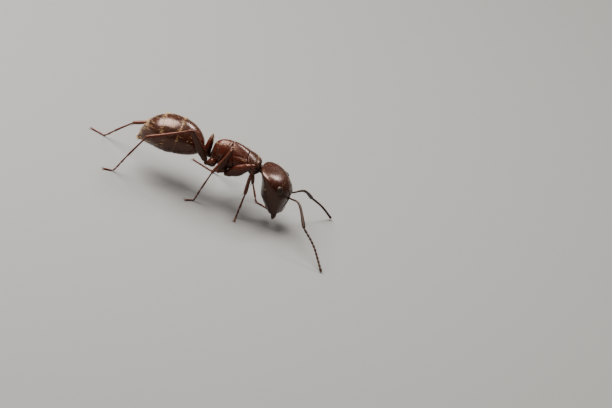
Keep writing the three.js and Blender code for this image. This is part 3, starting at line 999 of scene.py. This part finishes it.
def gasterPlace(index):
    low, high = gaster["seams"][index], gaster["seams"][index + 1]
    tucked = 0.035 if index else 0.0
    final = index == len(gaster["seams"]) - 2

    def place(share, angle):
        # the front is tucked under the plate before, and the hind edge is a thin lip
        cap = 0.08
        under = 1 - smooth(-0.42, -0.36, math.sin(angle))  # the belly plate is set in
        if share < cap:
            reach = math.sin(share / cap * math.pi / 2)
            return gasterSurface(low - tucked, angle, -0.03 * bool(index), reach)
        if share > 1 - cap and not final:
            turn = (1 - share) / cap
            reach = smooth(0, 1, turn) * 0.5 + 0.5 if turn > 0.5 else turn
            return gasterSurface(high, angle, -0.02 - 0.05 * (1 - turn), reach)
        along = (share - cap) / (1 - 2 * cap) if not final else (share - cap) / (1 - cap)
        t = low - tucked + (high - low + tucked) * along
        body = (t - low) / (high - low)
        rise = gaster["step"] * (smooth(0.0, 0.9, body) - 1)
        rise += 0.014 * math.sin(math.pi * min(1, max(0, body)))
        rise -= 0.022 * under
        if not final:
            rise -= 0.03 * smooth(0.985, 1.0, body) ** 2
        return gasterSurface(t, angle, rise)

    return place


gasterSkins = []
for i in range(5):
    bm = startPiece()

    def warmth(share, angle, i=i):
        belly = 1 - smooth(-0.3, 0.35, math.sin(angle))
        return 0.12 + 0.35 * belly + (0.6 * (1 - smooth(0.05, 0.75, share)) if i == 0 else 0)

    def rim(share, angle, i=i):
        return smooth(0.892, 0.912, share) * (0.7 if i < 4 else 0)

    gasterSkins.append(addSkin(bm, 200, 120, gasterPlace(i), warmth, rim))
    finishPiece(f"gaster_plate_{i + 1}", bm, shells["gasterShell"], [f"gaster_{i + 1}"])

# legs
legs = dict(  # base, hip, knee, ankle, heel and toe of each
    fore_right=[
        (1.66, -0.5, 3.62), (0.47, -0.88, 2.74), (2.23, -1.42, 4.57),
        (2.38, -1.4, 2.05), (2.4, -1.36, 0.24), (2.42, -2.08, 0.17),
    ],
    fore_left=[
        (1.66, 0.5, 3.62), (0.5, 0.85, 2.4), (1.9, 2.6, 3.33),
        (2.54, 2.78, 0.98), (3.3, 2.08, 0.24), (4.2, 1.88, 0.19),
    ],
    mid_right=[
        (0.34, -0.52, 3.2), (-0.1, -0.85, 2.68), (0.32, -1.72, 5.2),
        (-0.48, -1.9, 2.86), (-0.94, -1.56, 0.22), (-1.48, -1.98, 0.16),
    ],
    mid_left=[
        (0.34, 0.52, 3.2), (-0.1, 0.85, 2.6), (0.9, 3.2, 3.25),
        (0.1, 3.62, 0.93), (-0.55, 3.86, 0.22), (-2.25, 4.46, 0.19),
    ],
    hind_right=[
        (-0.5, -0.46, 3.2), (-1.12, -0.74, 2.86), (-2.9, -2.2, 5.6),
        (-5.93, -2.3, 3.66), (-7.2, -2.24, 0.22), (-7.88, -2.5, 0.16),
    ],
    hind_left=[
        (-0.5, 0.46, 3.2), (-1.15, 0.75, 2.8), (-4.33, 2.14, 3.84),
        (-7.4, 1.94, 2.2), (-9.0, 2.4, 0.33), (-10.1, 2.66, 0.19),
    ],
)
legSizes = dict(
    fore=dict(coxa=(0.38, 0.43, 0.24), femur=0.42, tibia=0.142, foot=0.078),
    mid=dict(coxa=(0.32, 0.36, 0.21), femur=0.32, tibia=0.136, foot=0.073),
    hind=dict(coxa=(0.34, 0.38, 0.22), femur=0.33, tibia=0.145, foot=0.078),
)
footShares = [0, 0.48, 0.64, 0.75, 0.83, 1.0]
legHairs = dict(
    hipDown=dict(count=160, length=0.11, thick=0.004, lift=22),
    hipBristles=dict(count=16, length=0.26, thick=0.009, lift=62, curl=0.6),
    thighDown=dict(count=420, length=0.1, thick=0.004, lift=15),
    thighBristles=dict(count=12, length=0.22, thick=0.008, lift=55, curl=0.6),
    shinDown=dict(count=460, length=0.095, thick=0.004, lift=17),
    shinBristles=dict(count=14, length=0.15, thick=0.009, lift=40, curl=0.2),
    footDown=dict(length=0.08, thick=0.004, lift=30),
    footBristles=dict(length=0.09, thick=0.0085, lift=38, curl=0.2),
)
legCoat = {pair: Coat() for pair in legSizes}


def makeLeg(label, spot, size, coat):
    legShell = shells["legShell"]
    base, hip, knee, ankle, heel, toe = (Vector(place) for place in spot)
    plane = (knee - hip).cross(ankle - knee).normalized()  # square to the leg's own plane

    first, middle, last = size["coxa"]
    path = Path([base, hip])
    girth = [(0, first), (0.4, middle), (0.85, last * 1.15), (1, last)]
    warmth = lambda s, a: 0.2 + 0.4 * smooth(0.8, 1, s)
    bm = startPiece()
    skin = addSkin(bm, 48, 48, limbPlace(path, girth, plane, 0.92), warmth)
    finishPiece(f"leg_{label}_hip_cone", bm, legShell, [f"leg_{label}_coxa"])
    coat.grow(skin, path.way(0.5), **legHairs["hipDown"])
    coat.grow(skin, (0, 0, -1), **legHairs["hipBristles"])

    way = (knee - hip).normalized()
    bm = startPiece()
    ring = Path([hip - way * 0.14, hip + way * 0.3])
    addSkin(bm, 28, 20, limbPlace(ring, [(0, 0.14), (0.5, 0.18), (1, 0.12)], plane, 0.9), 0.5)
    hinge = Path([knee - way * 0.06 - plane * 0.1, knee - way * 0.06 + plane * 0.1])
    addSkin(bm, 24, 16, limbPlace(hinge, [(0, 0.09), (0.5, 0.11), (1, 0.09)], way), 0.3)
    path = Path([hip + way * 0.2, knee])
    wide = size["femur"]
    girth = [(0, 0.12), (0.1, wide * 0.68), (0.38, wide), (0.72, wide * 0.7)]
    girth += [(0.93, 0.155), (1, 0.16)]
    warmth = lambda s, a: 0.3 + 0.35 * bell(s, 0.12) - 0.15 * smooth(0.85, 1, s)
    skin = addSkin(bm, 48, 72, limbPlace(path, girth, plane, 0.76), warmth)
    finishPiece(f"leg_{label}_thigh", bm, legShell, [f"leg_{label}_femur"])
    coat.grow(skin, path.way(0.5), **legHairs["thighDown"])
    coat.grow(skin, path.way(0.5), **legHairs["thighBristles"])

    down = (ankle - knee).normalized()
    back = hip - knee
    back = (back - down * back.dot(down)).normalized()  # the way the inner side of the shin faces
    shin = Path([knee + down * 0.02, knee.lerp(ankle, 0.5) + plane.cross(down) * 0.05, ankle])
    thick = size["tibia"]
    girth = [(0, 0.09), (0.05, 0.13), (0.14, 0.105), (0.5, thick * 0.92)]
    girth += [(0.85, thick), (0.96, thick * 0.9), (1, 0.09)]
    warmth = lambda s, a: 0.5 - 0.3 * bell(s, 0.1) + 0.25 * s
    bm = startPiece()
    skin = addSkin(bm, 32, 72, limbPlace(shin, girth, plane, 0.86), warmth)
    spurs = ((0.38, 0.0),) if "fore" in label else ((0.33, 0.0), (0.22, 0.05))
    for length, aside in spurs:
        root = ankle + back * 0.07 + plane * aside - down * 0.1
        tip = root + down * length * 0.9 + back * length * 0.5
        spur = Path([root, root.lerp(tip, 0.5) + back * 0.03, tip])
        addSkin(bm, 8, 14, limbPlace(spur, [(0, 0.02), (0.3, 0.024), (1, 0.004)], plane), 1.0)
    finishPiece(f"leg_{label}_shin", bm, legShell, [f"leg_{label}_tibia"])
    coat.grow(skin, down, **legHairs["shinDown"])
    inner = lambda p, n, s: (n @ np.array(back) > 0.7) & (s > 0.35)
    coat.grow(skin, down, where=inner, **legHairs["shinBristles"])

    heel.z, toe.z = 0.11, 0.07
    sole = heel.lerp(toe, 0.4)
    sole.z = 0.075
    foot = Path([ankle - down * 0.1, ankle.lerp(heel, 0.55), heel, sole, toe])
    for point in foot.line:  # no part of the foot sinks into the floor
        point.z = max(point.z, size["foot"] * 0.93)
    bm = startPiece()
    cord = limbPlace(foot, [(0, 0.045), (1, 0.035)], plane)  # runs inside the foot
    addSkin(bm, 12, 90, cord, 0.6)
    for i, (low, high) in enumerate(zip(footShares, footShares[1:])):
        thick = size["foot"] * (1 - 0.05 * i)
        piece = Path([foot.at(low + (high - low) * t) for t in (0.0, 0.35, 0.7, 1.0)], 8)
        girth = [(0, thick * 0.66), (0.2, thick * 0.78), (0.9, thick), (1, thick * 0.82)]
        skin = addSkin(bm, 18, 18 if i else 30, limbPlace(piece, girth, plane), 0.65 + 0.06 * i)
        coat.grow(skin, piece.way(0.5), 40 if i else 150, **legHairs["footDown"])
        under = lambda p, n, s: (n @ np.array(back) > 0.3) | ((n[:, 2] < -0.5) & (p[:, 2] > 0.3))
        bristles = legHairs["footBristles"]
        coat.grow(skin, piece.way(0.5), 4 if i else 10, where=under, **bristles)
    pad = Path([toe, toe + foot.way(1.0) * 0.08 + Vector((0, 0, -0.015))])
    addSkin(bm, 12, 10, limbPlace(pad, [(0, 0.04), (0.6, 0.05), (1, 0.03)], (0, 0, 1), 0.7), 0.9)
    for vert in bm.verts:
        vert.co.z = max(vert.co.z, 0.002)
    finishPiece(f"leg_{label}_foot", bm, legShell, [f"leg_{label}_tarsus"])

    bm = startPiece()
    onward = foot.way(1.0)
    onward.z = 0
    onward.normalize()
    across = Vector((-onward.y, onward.x, 0))
    for side in (1, -1):
        start = toe + across * side * 0.03
        bend = toe + across * side * 0.11 + onward * 0.1 + Vector((0, 0, 0.02))
        tip = toe + across * side * 0.15 + onward * 0.19 + Vector((0, 0, 0.008 - toe.z))
        claw = Path([start, bend, tip])
        addSkin(bm, 10, 20, limbPlace(claw, [(0, 0.03), (0.4, 0.026), (1, 0.005)], (0, 0, 1)))
    finishPiece(f"leg_{label}_claws", bm, plain["clawHorn"])


for label, spot in legs.items():
    pair = label.split("_")[0]
    makeLeg(label, spot, legSizes[pair], legCoat[pair])
for pair, coat in legCoat.items():
    coat.finish(f"leg_{pair}_hairs", plain["brownDown"], "leg_shell", rings=2)
print("stage: legs made")

# hairs of the body
rearward = (-1, 0, -0.1)
skyward = (0, 0, 1)
bodyHairs = dict(
    headDown=dict(count=620, length=0.06, thick=0.0034, lift=14, span=(0.06, 0.9)),
    crown=dict(count=36, length=0.28, thick=0.0095, lift=66, curl=0.5, span=(0.08, 0.5)),
    mouthEdge=dict(count=18, length=0.28, thick=0.009, lift=50, curl=0.5, span=(0.84, 0.93)),
    throat=dict(count=14, length=0.2, thick=0.008, lift=60, curl=0.5, span=(0.4, 0.88)),
    jaw=dict(count=14, length=0.14, thick=0.007, lift=40, span=(0.2, 0.8)),
    trunkDown=dict(count=700, length=0.1, thick=0.0038, lift=16, span=(0.12, 0.88)),
    back=dict(count=24, length=0.32, thick=0.0105, lift=66, curl=0.6, span=(0.15, 0.85)),
    crest=dict(count=20, length=0.3, thick=0.010, lift=70, curl=0.3, span=(0.6, 0.97)),
    gasterDown=dict(length=0.13, thick=0.004, lift=11, span=(0.13, 0.88)),
    gasterPlate=dict(length=0.36, thick=0.009, lift=50, curl=0.7, span=(0.14, 0.86)),
    gasterRim=dict(length=0.3, thick=0.009, lift=36, curl=0.6, span=(0.84, 0.9)),
    tail=dict(count=44, length=0.22, thick=0.007, lift=24, curl=0.2, span=(0.86, 0.98)),
)
gasterCounts = (1300, 48, 56)  # down, bristles of the plate and of its rim, on the first one
gasterShares = (1.0, 0.9, 0.8, 0.65, 0.5)  # how much of them each plate has
headCoat, trunkCoat, gasterCoat, bristleCoat = Coat(), Coat(), Coat(), Coat()


def facing(way, least):
    # picks the places of a skin that look along the way
    return lambda p, n, s: n @ np.array(way) > least


def higherThan(height):
    return lambda p, n, s: p[:, 2] > height


headCoat.grow(headSkin, headAlong, **bodyHairs["headDown"])
bristleCoat.grow(headSkin, -headAlong, where=facing(headFace, -0.1), **bodyHairs["crown"])
bristleCoat.grow(headSkin, headAlong, where=facing(headFace, 0.6), **bodyHairs["mouthEdge"])
bristleCoat.grow(headSkin, headAlong, where=facing(-headFace, 0.6), **bodyHairs["throat"])
for skin in jawSkins:
    bristleCoat.grow(skin, headAlong, **bodyHairs["jaw"])
for skin in trunkSkins.values():
    trunkCoat.grow(skin, rearward, where=higherThan(3.2), **bodyHairs["trunkDown"])
    bristleCoat.grow(skin, rearward, where=facing(skyward, 0.5), **bodyHairs["back"])
bristleCoat.grow(petioleSkin, rearward, where=higherThan(4.6), **bodyHairs["crest"])
upper = lambda p, n, s: 0.1 + 0.9 * (n[:, 2] > 0.2)
for skin, few in zip(gasterSkins, gasterShares):
    down, plate, rim = (int(count * few) for count in gasterCounts)
    gasterCoat.grow(skin, rearward, down, **bodyHairs["gasterDown"])
    bristleCoat.grow(skin, rearward, plate, where=upper, **bodyHairs["gasterPlate"])
    bristleCoat.grow(skin, rearward, rim, where=upper, **bodyHairs["gasterRim"])
bristleCoat.grow(gasterSkins[4], rearward, **bodyHairs["tail"])
headCoat.finish("head_down", plain["brownDown"], "dark_shell", rings=2)
trunkCoat.finish("trunk_down", plain["brownDown"], "red_shell", rings=2)
gasterCoat.finish("gaster_down", plain["brownDown"], "dark_shell", rings=2)
bristleCoat.finish("body_bristles", plain["goldenHair"], "dark_shell", rings=4)
print("stage: hairs made")

# floor, light and camera
stage = dict(
    floorSize=3.0,
    floorColour=(0.152, 0.150, 0.147),
    airColour=(1.0, 0.80, 0.66),
    airStrength=0.16,
    lightColour=(1.0, 0.97, 0.93),
)
panels = dict(  # each faces the ant: its middle in metres, its size and its power
    sky=dict(at=(-0.058, 0.012, 0.112), size=(0.10, 0.11), power=0.80),
    back=dict(at=(0.042, 0.100, 0.115), size=(0.045, 0.035), power=0.16),
)


def makeStage():
    bm = bmesh.new()
    bmesh.ops.create_grid(bm, x_segments=1, y_segments=1, size=stage["floorSize"] / 2)
    mesh = bpy.data.meshes.new("studio_floor")
    bm.to_mesh(mesh)
    bm.free()
    floor = bpy.data.objects.new("studio_floor", mesh)
    bpy.context.scene.collection.objects.link(floor)
    material, nodes, links, surface = newMaterial("studioFloor")
    surface.inputs["Base Color"].default_value = (*stage["floorColour"], 1)
    surface.inputs["Roughness"].default_value = 0.85
    mesh.materials.append(material)

    world = bpy.data.worlds.new("studioAir")
    world.use_nodes = True
    air = world.node_tree.nodes["Background"]
    air.inputs["Color"].default_value = (*stage["airColour"], 1)
    air.inputs["Strength"].default_value = stage["airStrength"]
    bpy.context.scene.world = world

    for name, panel in panels.items():
        light = bpy.data.lights.new(f"{name}_panel", "AREA")
        light.shape = "RECTANGLE"
        light.size, light.size_y = panel["size"]
        light.energy, light.color = panel["power"], stage["lightColour"]
        lamp = bpy.data.objects.new(f"{name}_panel", light)
        lamp.location = panel["at"]
        lamp.rotation_euler = Vector(panel["at"]).to_track_quat("Z", "Y").to_euler()
        bpy.context.scene.collection.objects.link(lamp)


makeStage()

view = dict(
    roll=23,  # degrees that the ground runs down to the right
    height=27,  # degrees above the ground
    centre=(6.77, 0, 2.6),  # the point in the middle of the picture
    distance=300,
    lens=240,
)


def makeCamera():
    roll, height = math.radians(view["roll"]), math.radians(view["height"])
    ahead, high = math.sin(height), math.cos(height)
    right = Vector((math.cos(roll), math.sin(roll) * ahead, math.sin(roll) * high))
    up = Vector((-math.sin(roll), math.cos(roll) * ahead, math.cos(roll) * high))
    back = right.cross(up)
    data = bpy.data.cameras.new("main_camera")
    data.lens, data.sensor_width = view["lens"], 36
    data.clip_start, data.clip_end = 0.005, 10
    camera = bpy.data.objects.new("main_camera", data)
    turn = Matrix((right, up, back)).transposed().to_4x4()
    place = (Vector(view["centre"]) + back * view["distance"]) * mm
    camera.matrix_world = Matrix.Translation(place) @ turn
    bpy.context.scene.collection.objects.link(camera)
    bpy.context.scene.camera = camera


makeCamera()
print("stage: ready")
